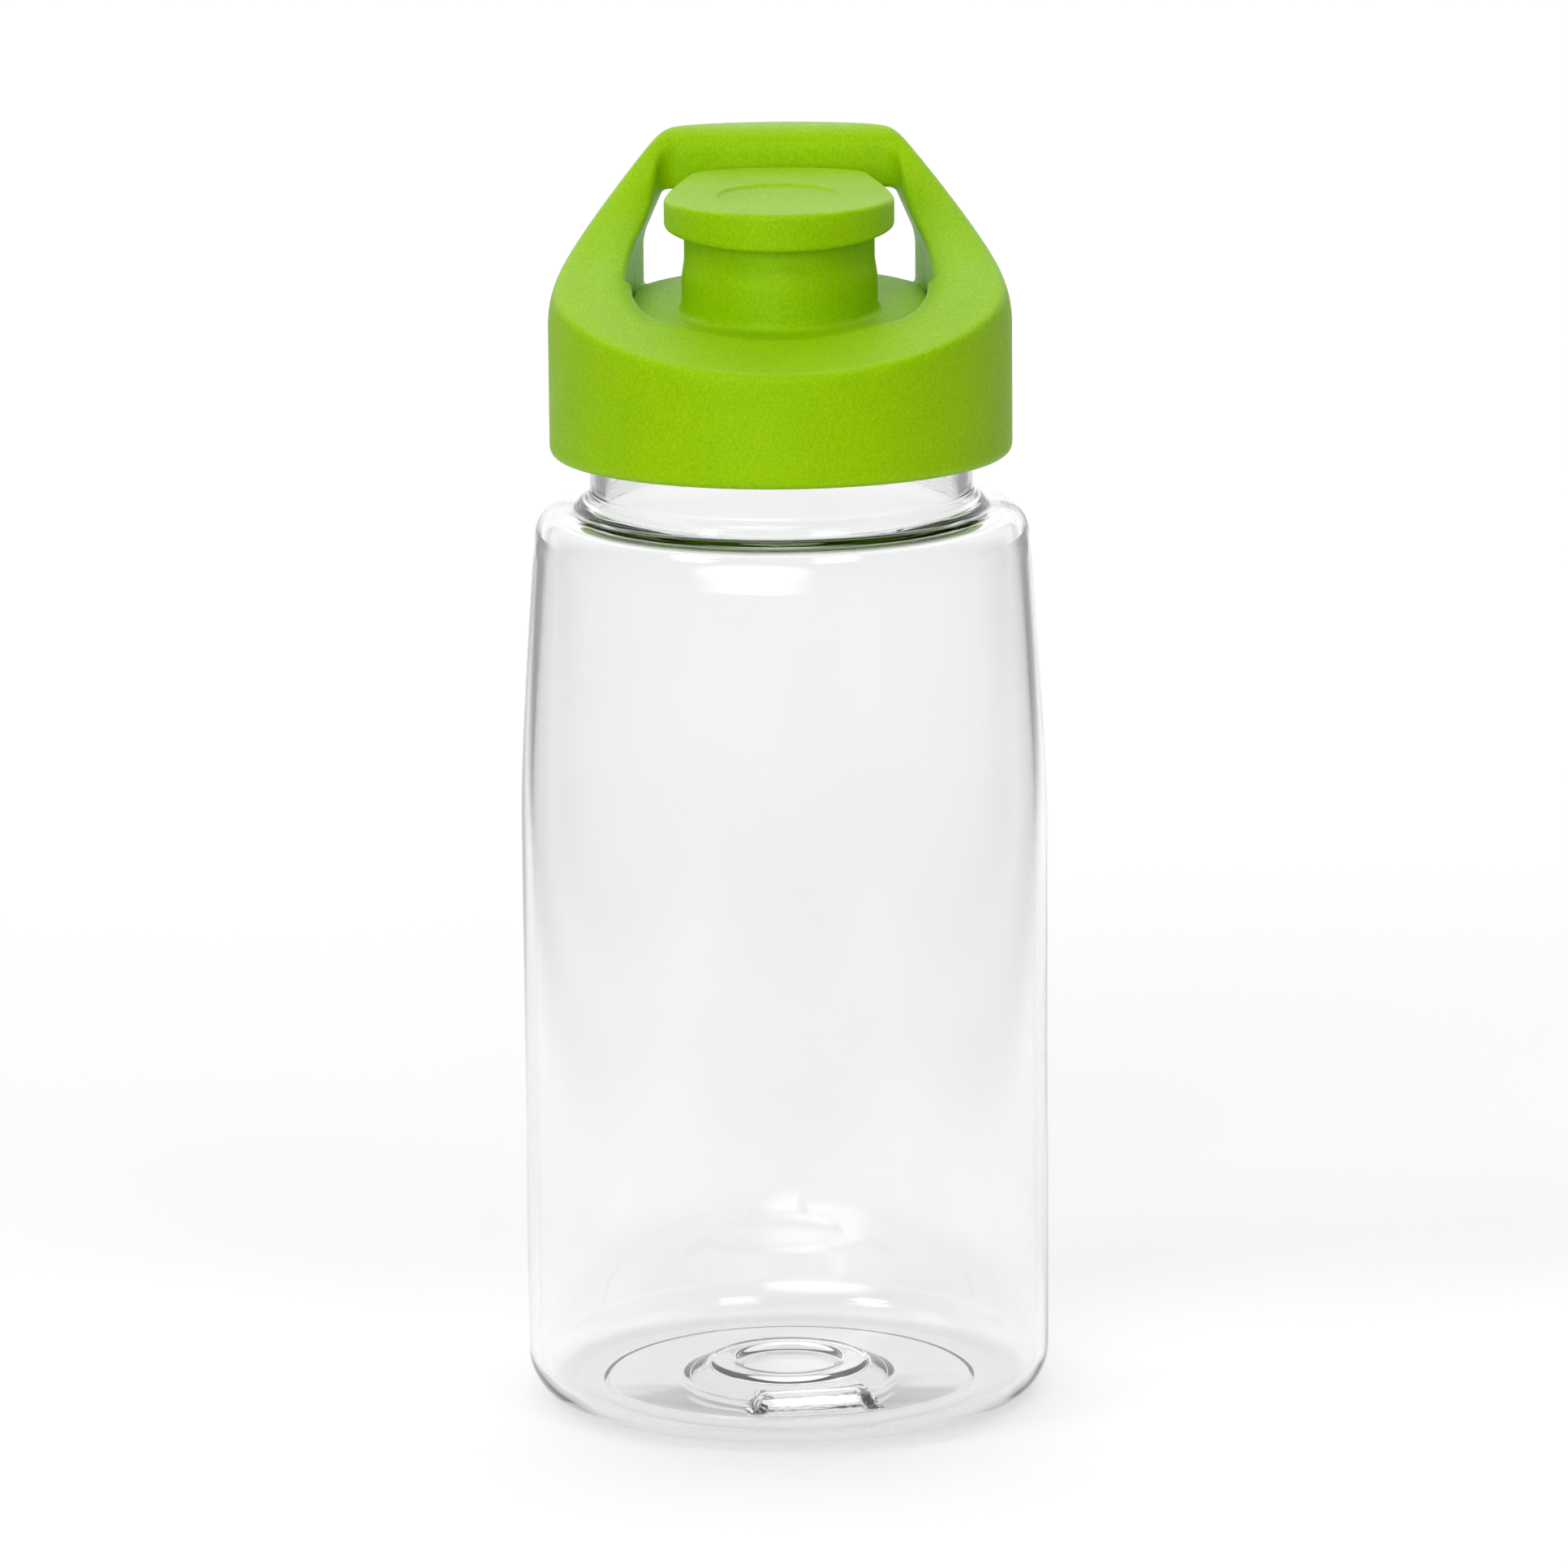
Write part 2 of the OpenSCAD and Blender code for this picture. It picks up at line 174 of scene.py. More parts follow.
def ring(x, y, r):
    """Distance outside a circle of radius r about the Z axis."""
    return np.sqrt(x * x + y * y) - r


def past_line(u, v, p, q):
    """Distance to the left of the line from p to q, in a plane with the axes u and v."""
    du, dv = q[0] - p[0], q[1] - p[1]
    length = math.hypot(du, dv)
    return (du * (v - p[1]) - dv * (u - p[0])) / length


# ---------------------------------------------------------------- meshes


def gradient(field, p, step=0.04):
    """The slope of the field at the points p."""
    g = np.empty_like(p)
    for axis in range(3):
        d = np.zeros(3)
        d[axis] = step
        a, b = p + d, p - d
        g[:, axis] = (field(*a.T) - field(*b.T)) / (2 * step)
    return g


def settle(field, p, cell, rounds=3):
    """Moves the points p onto the zero surface of the field."""
    for _ in range(rounds):
        g = gradient(field, p)
        value = field(*p.T)
        step = value[:, None] * g / np.maximum((g * g).sum(1), 0.2)[:, None]
        size = np.linalg.norm(step, axis=1)
        step *= np.minimum(1.0, 0.5 * cell / np.maximum(size, 1e-9))[:, None]
        p = p - step
    return p


def relax(p, faces, share=0.5):
    """Moves each point towards the middle of its neighbours."""
    total = np.zeros_like(p)
    count = np.zeros(len(p))
    for a, b in ((0, 1), (1, 2), (2, 3), (3, 0)):
        for i, j in ((a, b), (b, a)):
            for axis in range(3):
                total[:, axis] += np.bincount(faces[:, i], p[faces[:, j], axis], len(p))
            count += np.bincount(faces[:, i], minlength=len(p))
    return p + share * (total / count[:, None] - p)


def net(field, low, high, cell):
    """A closed quad mesh on the zero surface of the field, between two corners."""
    low = np.array(low, float)
    n = np.ceil((np.array(high, float) - low) / cell).astype(int) + 1
    axes = [low[a] + cell * np.arange(n[a]) for a in range(3)]
    values = np.empty(n)
    slab = 24
    for i in range(0, n[0], slab):
        values[i : i + slab] = field(
            axes[0][i : i + slab, None, None], axes[1][None, :, None], axes[2][None, None, :]
        )
    inside = values < 0
    cells = n - 1
    total = np.zeros((cells.prod(), 3))
    count = np.zeros(cells.prod())
    quads = []
    strides = np.array([cells[1] * cells[2], cells[2], 1])
    for a in range(3):
        b, c = (a + 1) % 3, (a + 2) % 3
        first = [slice(None)] * 3
        second = [slice(None)] * 3
        first[a], second[a] = slice(None, -1), slice(1, None)
        crossing = np.argwhere(inside[tuple(first)] != inside[tuple(second)])
        ahead = crossing.copy()
        ahead[:, a] += 1
        f0, f1 = values[tuple(crossing.T)], values[tuple(ahead.T)]
        point = crossing.astype(float)
        point[:, a] += f0 / (f0 - f1)
        around = []
        for db, dc in ((-1, -1), (0, -1), (0, 0), (-1, 0)):
            cell_at = crossing.copy()
            cell_at[:, b] += db
            cell_at[:, c] += dc
            around.append(cell_at @ strides)
        for flat in around:
            for axis in range(3):
                total[:, axis] += np.bincount(flat, point[:, axis], len(total))
            count += np.bincount(flat, minlength=len(count))
        quad = np.stack(around, axis=1)
        outward = inside[tuple(crossing.T)]
        quads.append(np.where(outward[:, None], quad, quad[:, ::-1]))
    used = np.flatnonzero(count)
    index = np.full(len(count), -1)
    index[used] = np.arange(len(used))
    faces = index[np.concatenate(quads)]
    p = low + cell * total[used] / count[used, None]
    p = settle(field, p, cell)
    for _ in range(2):
        p = settle(field, relax(p, faces), cell)
    return p, faces


def lathe(outline, turns, shape):
    """A closed mesh turned about the Z axis from a closed outline of (radius, z).

    The outline starts and ends on the axis. shape(p) moves the points p, in place.
    """
    outline = np.array(outline, float)
    inner = outline[1:-1]
    angle = 2 * math.pi * np.arange(turns) / turns
    x = inner[:, 0, None] * np.cos(angle)
    y = inner[:, 0, None] * np.sin(angle)
    z = np.repeat(inner[:, 1, None], turns, axis=1)
    p = np.stack([x, y, z], axis=2).reshape(-1, 3)
    p = np.vstack([p, [[0, 0, outline[0, 1]], [0, 0, outline[-1, 1]]]])
    shape(p)
    rows = len(inner)
    i = np.arange(turns)
    j = (i + 1) % turns
    faces = []
    for row in range(rows - 1):
        a, b = row * turns, (row + 1) * turns
        faces.append(np.stack([a + i, a + j, b + j, b + i], axis=1))
    faces = np.concatenate(faces).tolist()
    start, end = rows * turns, rows * turns + 1
    last = (rows - 1) * turns
    faces += [[start, int(b), int(a)] for a, b in zip(i, j)]
    faces += [[end, int(last + a), int(last + b)] for a, b in zip(i, j)]
    return p, faces


def make(name, points, faces, material, body, slot, *nodes):
    """A shown piece from points in millimetres, which stands for the CAD nodes."""
    mesh = bpy.data.meshes.new(name)
    if isinstance(faces, np.ndarray):
        faces = faces.tolist()
    mesh.from_pydata((np.asarray(points) * MM).tolist(), [], faces)
    mesh.update()
    mesh.shade_smooth()
    mesh.materials.append(material)
    piece = bpy.data.objects.new(name, mesh)
    bpy.context.collection.objects.link(piece)
    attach(piece, body)
    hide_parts(*nodes)


# ---------------------------------------------------------------- outlines


def fillet(corners, step=6):
    """An open line through the corners (u, v, r), each rounded by an arc of radius r."""
    points = [np.array(corner[:2], float) for corner in corners]
    out = []
    for i, p in enumerate(points):
        r = corners[i][2]
        if r <= 0 or i in (0, len(points) - 1):
            out.append(p)
            continue
        u = points[i - 1] - p
        v = points[i + 1] - p
        u /= np.linalg.norm(u)
        v /= np.linalg.norm(v)
        half = math.acos(np.clip(u @ v, -1, 1)) / 2
        centre = p + (u + v) / np.linalg.norm(u + v) * r / math.sin(half)
        a = p + u * r / math.tan(half) - centre
        b = p + v * r / math.tan(half) - centre
        turn = math.atan2(a[0] * b[1] - a[1] * b[0], a @ b)
        count = max(3, int(abs(turn) / math.radians(90) * step) + 1)
        for k in range(count + 1):
            cos, sin = math.cos(turn * k / count), math.sin(turn * k / count)
            out.append(centre + [a[0] * cos - a[1] * sin, a[0] * sin + a[1] * cos])
    return out


def spaced(line, gap):
    """The line with points at most gap(point) apart."""
    out = [line[0]]
    for p, q in zip(line[:-1], line[1:]):
        n = max(1, math.ceil(np.linalg.norm(q - p) / gap((p + q) / 2)))
        out += [p + (q - p) * k / n for k in range(1, n + 1)]
    return out


# ---------------------------------------------------------------- bottle


def draw_in(u, soft=DRAW_SOFT):
    """How far the side has come in, from 0 at the belly to 1 at the shoulder."""
    return (math.sqrt(u * u + soft * soft) - soft) / (math.sqrt(1 + soft * soft) - soft)


def side_r(z):
    """Radius of the outside of the body at the height z."""
    if z <= BELLY_Z:
        return BELLY_R
    return BELLY_R - (BELLY_R - TOP_R) * draw_in((z - BELLY_Z) / (SHOULDER_Z - BELLY_Z))


def bottle_gap(p):
    """How far apart the outline's points may be near p: fine at the neck and at the lug."""
    r, z = p
    if z > SHOULDER_Z + 1:
        return 0.32
    if z < LUG_ZONE_Z + 0.5 and LUG_MESH_IN_R < r < LUG_MESH_OUT_R:
        return 0.3
    if z > SHOULDER_Z - 8 or z < 9:
        return 0.7
    return 3.0


def bottle_outline():
    """The closed section of the bottle, from the axis under the base round to the axis inside.

    Each corner is a radius, a height and the radius of its fillet.
    """
    rise = SHOULDER_Z - SHOULDER_R - FOOT_R - 8
    heights = [FOOT_R + 6 + k * rise / 40 for k in range(41)]
    corners = [
        (0, DENT_Z - WALL / 2, 0),
        (DENT_R, DENT_Z - WALL / 2, 0.6),
        (DENT_EDGE_R, BOSS_Z - WALL, 0.5),
        (BOSS_R, BOSS_Z - WALL, 1.5),
        (BOSS_FOOT_R, FLOOR_Z, 2.0),
        (RING_IN_R, FLOOR_Z, 0.35),
        (RING_OUT_R, 0, 0.35),
        (BELLY_R, 0, FOOT_R),
        *[(side_r(z), z, 0) for z in heights],
        (side_r(SHOULDER_Z), SHOULDER_Z, SHOULDER_R),
        (BEAD_R, SHOULDER_Z, 0.5),
        (BEAD_R - 0.4, SHOULDER_Z + 0.8, 0.4),
        (NECK_R, SHOULDER_Z + 2.0, 0.6),
        (NECK_R, RIM_Z, 0.5),
        (NECK_IN_R, RIM_Z, 0.5),
        (NECK_IN_R, SHOULDER_Z - WALL, NECK_ROOT_R),
        (side_r(SHOULDER_Z) - WALL, SHOULDER_Z - WALL, SHOULDER_R - WALL),
        *[(side_r(z) - WALL, z, 0) for z in heights[::-1]],
        (BELLY_R - WALL, WALL, FOOT_R - WALL),
        (BOSS_FOOT_R, FLOOR_IN_Z, 2.0),
        (BOSS_R, BOSS_Z, 1.0),
        (DENT_EDGE_R, BOSS_Z, 0.8),
        (DENT_R, DENT_Z + WALL / 2, 0.8),
        (0, DENT_Z + WALL / 2, 0),
    ]
    return spaced(fillet(corners), bottle_gap)


def soft_step(value, width):
    """0 below 0 and 1 above, over a band of the width."""
    t = np.clip(value / width + 0.5, 0, 1)
    return t * t * (3 - 2 * t)


def raise_thread(p):
    """Raises the screw thread on the neck: one ridge, which fades in and out at its ends."""
    r = np.hypot(p[:, 0], p[:, 1])
    angle = np.arctan2(p[:, 1], p[:, 0]) % (2 * math.pi)
    z = p[:, 2]
    on_neck = (np.abs(r - NECK_R) < 0.02) & (z > SHOULDER_Z + 1.5) & (z < RIM_Z - 0.4)
    rise = np.zeros(len(p))
    for k in range(math.ceil(THREAD_TURNS) + 1):
        along = angle / (2 * math.pi) + k
        centre = THREAD_Z + PITCH * along
        ends = soft_step(THREAD_TURNS - along, 0.06) * soft_step(along - 0.07, 0.08)
        ridge = soft_step(THREAD_HALF_W - np.abs(z - centre), 0.6)
        rise = np.maximum(rise, ridge * ends)
    grow = 1 + THREAD_DEPTH * rise * on_neck / np.maximum(r, 1)
    p[:, 0] *= grow
    p[:, 1] *= grow


def raise_lug(p):
    """Raises the lug in the floor of the base, wider on the inside than underneath."""
    x, y, z = p.T
    across = x * math.cos(LUG_TURN) + y * math.sin(LUG_TURN)
    along = -x * math.sin(LUG_TURN) + y * math.cos(LUG_TURN) - LUG_Y
    wider = np.where(z > FLOOR_IN_Z - WALL / 2, LUG_SOFT, 0.0)
    up = soft_step(LUG_W / 2 + wider - np.abs(across), LUG_SOFT)
    up *= soft_step(LUG_L / 2 + wider - np.abs(along), LUG_SOFT)
    on_floor = (z < LUG_ZONE_Z) & (np.hypot(x, y) < LUG_ZONE_R)
    p[:, 2] += np.where(on_floor, LUG_H * up, 0)


def shape_bottle(p):
    """Raises the thread on the neck and the lug in the base."""
    raise_thread(p)
    raise_lug(p)


# ---------------------------------------------------------------- lid shell

RAMP_END = 2 * math.atan((TOP_Z - 2 - PLANE_Z) / BAR_FRONT) - SLOPE
RAMP_R = BAR_FRONT / (math.sin(RAMP_END) - math.sin(SLOPE))
RAMP_Y = -RAMP_R * math.sin(SLOPE)
RAMP_Z = PLANE_Z + RAMP_R * math.cos(SLOPE)


def ramp(y, z):
    """Distance above the top of the lid: a straight slope that curves up into the handle."""
    straight = (z - PLANE_Z - y * math.tan(SLOPE)) * math.cos(SLOPE)
    curved = RAMP_R - np.sqrt((y - RAMP_Y) ** 2 + (z - RAMP_Z) ** 2)
    return np.where((y < 0) | (z > RAMP_Z), straight, curved)


def opening(x, y):
    """Distance outside the opening in the top of the shell."""
    front = np.sqrt(x * x + np.minimum(y, 0.0) ** 2) - OPENING_R
    narrow = past_line(np.abs(x), y, (BAR_HALF_W - 0.3, BAR_FRONT), (OPENING_R, 11.0))
    return smax(smax(front, narrow, 5.0), y - BAR_FRONT, 2.0)


def window_w(y):
    """Half the width of the window, which narrows towards the back."""
    return WINDOW_HALF_W + 0.09 * np.maximum(24.0 - y, 0.0)


def window(x, y, z):
    """Distance outside the window under the bar."""
    ax = np.abs(x) - window_w(y)
    lean = past_line(ax, z, (-2.75, BAR_Z), (0.0, SILL_Z + 6.8))
    sides = smax(smax(ax, lean, 0.6), -0.5 - y, 4.0)
    ends = smax(z - BAR_Z, SILL_Z - z, 0.5)
    return smax(sides, ends, 0.8)


def platform(x, y, gap):
    """Distance outside the platform of the deck, seen from above."""
    rear = smax(ring(x, y, PLATFORM_R), np.abs(x) - window_w(y), 0.6)
    return np.minimum(ring(x, y, OPENING_R), np.maximum(rear, -y)) + gap


def shell_field(x, y, z):
    """Distance outside the lid shell: the cap, the arms and the bar of the handle."""
    lean = -past_line(np.abs(x), z, (CAP_R + 1, PLANE_Z - 2.5), (BAR_HALF_W, TOP_Z))
    sides = smax(ring(x, y, CAP_R), lean, 3.5)
    arm = soft_step(np.abs(x) - ARM_X, ARM_FADE) * (1 - soft_step(y - ARM_END_Y, ARM_FADE))
    top = smax(ramp(y, z), z - TOP_Z, 1.6)
    edge = EDGE_ROUND + (ARM_ROUND - EDGE_ROUND) * arm
    top = smax(top, -opening(x, y) - 1.7 * arm, edge)
    solid = smax(smax(sides, top, 1.0), CAP_Z - z, 1.6)
    solid = smax(solid, -np.maximum(opening(x, y), SILL_Z - z), 0.4)
    solid = smax(solid, -window(x, y, z), 0.5)
    seat = SEAT_Z - 1 - z + np.maximum(0, z - SILL_Z - 1) * 3
    solid = smax(solid, -np.maximum(platform(x, y, 0.0), seat), 0.3)
    return smax(solid, -np.maximum(ring(x, y, SHELL_IN_R), z - SEAT_Z), 0.3)


# ---------------------------------------------------------------- liner with the spout


def along_x(y, z, r):
    """Distance outside a rod of radius r on the hinge's axis."""
    return np.sqrt((y - HINGE_Y) ** 2 + (z - HINGE_Z) ** 2) - r


def hinge_lugs(x, y, z):
    """Distance outside the two lugs that hold the pin, with their webs."""
    half = LUG_PAIR_W / 2
    across = np.abs(np.abs(x) - (LUG_PAIR_IN + half)) - half
    web = smax(y - HINGE_Y, HINGE_Y - KNUCKLE_R - y - 30 * (z < HINGE_Z), 0.5)
    under = past_line(y, z, (HINGE_Y, HINGE_Z - KNUCKLE_R), (STEM_R, HINGE_Z - 6))
    web = np.maximum(np.maximum(web, under), z - (STEM_Z - 0.6))
    web = np.maximum(web, BORE_R + 0.6 - y)
    return smax(across, smin(along_x(y, z, KNUCKLE_R), web, 0.5), 0.5)


def liner_thread(x, y, z):
    """Distance outside the thread in the lid, which sits midway between the neck's ridges."""
    r = np.sqrt(x * x + y * y)
    angle = np.arctan2(y, x) / (2 * math.pi) % 1.0
    phase = (LINER_THREAD_Z - THREAD_Z) / PITCH + 0.5
    depth = NECK_R + 0.5 - r
    thread = 9.0
    for k in range(-1, math.ceil(LINER_THREAD_TURNS) + 1):
        along = angle - phase % 1.0 + k
        centre = LINER_THREAD_Z + PITCH * along
        ends = 8.0 * np.maximum(np.maximum(-along, along - LINER_THREAD_TURNS), 0)
        ridge = smax(depth, np.abs(z - centre) - 0.9 + 0.3 * depth, 0.5)
        ridge = np.maximum(ridge, r - (NECK_R + 2.2)) + ends
        thread = np.minimum(thread, ridge)
    return thread


def liner_field(x, y, z):
    """Distance outside the liner: the skirt, the deck, the spout, the lugs and the thread."""
    r = np.sqrt(x * x + y * y)
    deck = (z - DECK_Z - y * math.tan(DECK_SLOPE)) * math.cos(DECK_SLOPE)
    skirt = smax(smax(r - (SHELL_IN_R - SLIDE_GAP), z - SEAT_Z, 0.4), liner_low[2] - z, 0.8)
    raised = smax(smax(platform(x, y, SLIDE_GAP), deck, 0.9), SEAT_Z - 1 - z, 0.3)
    foot = r - (STEM_R + 0.35 * soft_step(DECK_Z + 5.5 - z, 3.0))
    stem = np.maximum(smax(foot, z - STEM_Z, 0.8), SEAT_Z - z)
    solid = smin(smin(skirt, raised, 0.3), stem, 0.9)
    solid = smin(solid, hinge_lugs(x, y, z), 0.6)
    solid = smax(solid, -np.maximum(r - LINER_IN_R, z - gasket_high[2]), 0.4)
    inset = platform(x, y, SLIDE_GAP + LINER_WALL)
    under = np.maximum(np.maximum(inset, deck + 1.8), gasket_high[2] - 1 - z)
    solid = smax(solid, -under, 0.4)
    solid = smax(solid, -np.maximum(r - BORE_R, gasket_high[2] - z), 0.7)
    return np.minimum(solid, liner_thread(x, y, z))


# ---------------------------------------------------------------- flip cover


def cover_plan(x, y):
    """Distance outside the cover, seen from above: a round front that tapers to the hinge."""
    front = np.sqrt(x * x + np.minimum(y, 0.0) ** 2) - COVER_R
    side = past_line(np.abs(x), y, (STEM_R - 1.1, HINGE_Y + 1.4), (COVER_R, 0.0))
    rear = smax(side, ring(x, y, COVER_REAR_R), 1.0)
    return smax(front, rear, 2.0)


def cover_knuckle(x, y, z):
    """Distance outside the knuckle that turns on the pin, with the web that carries it."""
    web = np.maximum(np.abs(y - HINGE_Y) - KNUCKLE_R, HINGE_Z - z)
    knuckle = smin(along_x(y, z, KNUCKLE_R), web, 0.2)
    return smax(np.maximum(knuckle, z - (COVER_Z - 0.6)), np.abs(x) - KNUCKLE_HALF_W, 0.4)


def cover_field(x, y, z):
    """Distance outside the flip cover."""
    r = np.sqrt(x * x + y * y)
    dimple = DIMPLE_DEPTH * soft_step(DIMPLE_R - r, 0.5)
    top = z - COVER_Z - TOP_RISE + (COVER_REAR_R - y) * math.tan(TOP_TILT) + dimple
    under = (COVER_RIM_Z + y * math.tan(RIM_SLOPE) - z) * math.cos(RIM_SLOPE)
    solid = smax(smax(cover_plan(x, y), top, 0.7), under, 0.7)
    solid = smax(solid, -np.maximum(r - HOLLOW_R, z - HOLLOW_Z), 0.5)
    slot = np.maximum(np.abs(x) - SLOT_HALF_W, z - (HINGE_Z + KNUCKLE_R + SLOT_GAP))
    slot = np.maximum(np.maximum(slot, y - (HINGE_Y + KNUCKLE_R + SLOT_GAP)), -y)
    solid = smax(solid, -slot, 0.3)
    solid = smin(solid, cover_knuckle(x, y, z), 0.3)
    return np.maximum(solid, -along_x(y, z, PIN_R + 0.05))


# ---------------------------------------------------------------- materials


class Nodes:
    """Builds a material's nodes."""

    def __init__(self, name):
        self.material = bpy.data.materials.new(name)
        self.material.use_nodes = True
        self.tree = self.material.node_tree
        self.shader = self.tree.nodes["Principled BSDF"]
        self.where = self.new("ShaderNodeTexCoord").outputs["Object"]

    def new(self, kind, **inputs):
        """A node with the inputs set, where _ stands for a space."""
        node = self.tree.nodes.new(kind)
        for name, value in inputs.items():
            self.set(node, name.replace("_", " "), value)
        return node

    def set(self, node, name, value):
        """Links a socket to the input, or gives it the value."""
        if isinstance(value, bpy.types.NodeSocket):
            self.tree.links.new(value, node.inputs[name])
        else:
            node.inputs[name].default_value = value

    def noise(self, scale, detail=2.0, roughness=0.5, where=None):
        """A noise value, from 0 to 1."""
        node = self.new("ShaderNodeTexNoise", Scale=scale, Detail=detail, Roughness=roughness)
        self.tree.links.new(where or self.where, node.inputs["Vector"])
        return node.outputs["Fac"]

    def ramp(self, value, *stops):
        """A colour that goes through the stops (place, colour) as the value grows."""
        node = self.new("ShaderNodeValToRGB")
        self.tree.links.new(value, node.inputs["Fac"])
        ramp = node.color_ramp
        while len(ramp.elements) < len(stops):
            ramp.elements.new(1.0)
        for element, (place, colour) in zip(ramp.elements, stops):
            element.position = place
            element.color = (*colour, 1.0)
        return node.outputs["Color"]

    def bump(self, height, strength, distance, normal=None):
        """A normal tilted by the height, on top of another normal."""
        node = self.new("ShaderNodeBump", Strength=strength, Distance=distance)
        self.tree.links.new(height, node.inputs["Height"])
        if normal:
            self.tree.links.new(normal, node.inputs["Normal"])
        return node.outputs["Normal"]

    def finish(self, **inputs):
        """Sets the shader's inputs and hands the material back."""
        for name, value in inputs.items():
            self.set(self.shader, name.replace("_", " "), value)
        return self.material


def grey(level):
    """A grey of the level."""
    return (level, level, level)


def moulded_green(name, seed):
    """Satin polypropylene: a fine spark-eroded grain, faint flow marks and a waxy depth."""
    n = Nodes(name)
    flow = n.noise(60 + seed, 3.0, 0.55)
    fine = n.noise(2600 + seed, 2.0, 0.7)
    mixed = n.new("ShaderNodeMix", Factor=0.75, A=flow, B=fine).outputs["Result"]
    colour = n.ramp(mixed, (0.32, (0.25, 0.52, 0.0)), (0.68, (0.40, 0.68, 0.0)))
    rough = n.ramp(n.noise(900), (0.35, grey(0.40)), (0.65, grey(0.50)))
    grain = n.bump(n.noise(3200, 2.0, 0.6), 0.35, 0.00006)
    wave = n.bump(n.noise(130), 0.08, 0.0004, grain)
    return n.finish(
        Base_Color=colour, Roughness=rough, Normal=wave, IOR=1.49,
        Specular_Tint=(0.6, 1.0, 0.14, 1.0), Subsurface_Weight=0.3,
        Subsurface_Radius=(0.5, 1.0, 0.1), Subsurface_Scale=0.003,
    )


def clear_plastic():
    """Clear blow-moulded copolyester: faint waves from the blow mould and hair-fine scuffs."""
    n = Nodes("clear_copolyester")
    stretched = n.new("ShaderNodeMapping", Scale=(1.0, 1.0, 0.25))
    n.tree.links.new(n.where, stretched.inputs["Vector"])
    wave = n.bump(n.noise(45, 2.0, 0.5, stretched.outputs["Vector"]), 0.10, 0.0012)
    colour = n.ramp(n.noise(30), (0.3, (0.965, 0.968, 0.968)), (0.7, (0.985, 0.987, 0.987)))
    rough = n.ramp(n.noise(400, 4.0, 0.7), (0.45, grey(0.012)), (0.75, grey(0.05)))
    return n.finish(
        Base_Color=colour, Roughness=rough, Normal=wave, IOR=1.54, Transmission_Weight=1.0
    )


def silicone():
    """Food-grade silicone: milky, matt and dusty."""
    n = Nodes("milky_silicone")
    colour = n.ramp(n.noise(200, 3.0), (0.35, (0.80, 0.81, 0.80)), (0.65, (0.87, 0.88, 0.87)))
    rough = n.ramp(n.noise(700, 3.0), (0.3, grey(0.48)), (0.7, grey(0.62)))
    normal = n.bump(n.noise(3000), 0.15, 0.00004)
    return n.finish(
        Base_Color=colour, Roughness=rough, Normal=normal, IOR=1.41, Subsurface_Weight=0.4,
        Subsurface_Radius=(1.0, 1.0, 1.0), Subsurface_Scale=0.002,
    )


def drawn_steel():
    """Stainless wire, with the lines that drawing leaves along it."""
    n = Nodes("drawn_steel")
    lines = n.new("ShaderNodeMapping", Scale=(0.05, 1.0, 1.0))
    n.tree.links.new(n.where, lines.inputs["Vector"])
    streak = n.noise(6000, 2.0, 0.6, lines.outputs["Vector"])
    colour = n.ramp(streak, (0.3, (0.50, 0.50, 0.51)), (0.7, (0.66, 0.66, 0.67)))
    rough = n.ramp(streak, (0.3, grey(0.22)), (0.7, grey(0.34)))
    normal = n.bump(streak, 0.2, 0.00003)
    return n.finish(Base_Color=colour, Roughness=rough, Normal=normal, Metallic=1.0)


clear = clear_plastic()
green_shell = moulded_green("satin_green_shell", 0)
green_liner = moulded_green("satin_green_liner", 7)
green_cover = moulded_green("satin_green_cover", 13)
milky = silicone()
steel = drawn_steel()

# ---------------------------------------------------------------- pieces

points, faces = lathe(bottle_outline(), BOTTLE_TURNS, shape_bottle)
make("clear_bottle", points, faces, clear, "bottle", "clear_body", "bottle_body")

points, faces = net(shell_field, shell_low - MARGIN, shell_high + MARGIN, CELL)
make("green_shell", points, faces, green_shell, "lid", "green_lid", "lid_shell")

points, faces = net(liner_field, liner_low - MARGIN, liner_high + MARGIN, CELL)
make("green_liner", points, faces, green_liner, "lid", "green_lid", "lid_liner")

points, faces = net(cover_field, cover_low - MARGIN, cover_high + MARGIN, COVER_CELL)
make("green_flip_cover", points, faces, green_cover, "cover", "green_lid", "flip_cover")

for node, material in (("cover_seal", milky), ("lid_gasket", milky), ("hinge_pin", steel)):
    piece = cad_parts[node]
    piece.data.materials.clear()
    piece.data.materials.append(material)

# ---------------------------------------------------------------- studio

FLOOR_HALF = 4.0

# Each part of the sky: a direction, the cosines where it starts and is full, a brightness
SKY_DIM = 0.055
SKY = (
    ((0.0, 0.85, 0.53), 0.35, 0.8, 0.95),
    ((0.0, 0.2, 0.98), 0.7, 0.92, 0.4),
    ((-0.24, -0.95, 0.17), 0.85, 0.99, 3.9),
)

# Each lamp: a name, a place, a width and a height, a power
LAMP_TARGET = (0, 0, 0.12)
LAMP_SPREAD = math.radians(60)
LAMPS = (
    ("left_box", (-0.50, -0.36, 0.85), (0.26, 0.26), 0.15),
    ("right_box", (0.34, -0.52, 0.90), (0.30, 0.26), 0.12),
)

CAMERA_PLACE = (0, -1.1124, 0.3121)
CAMERA_LENS, CAMERA_SENSOR = 196.6, 36.0
CAMERA_DOWN = math.radians(11.66)
CAMERA_ROLL = math.radians(-0.5)


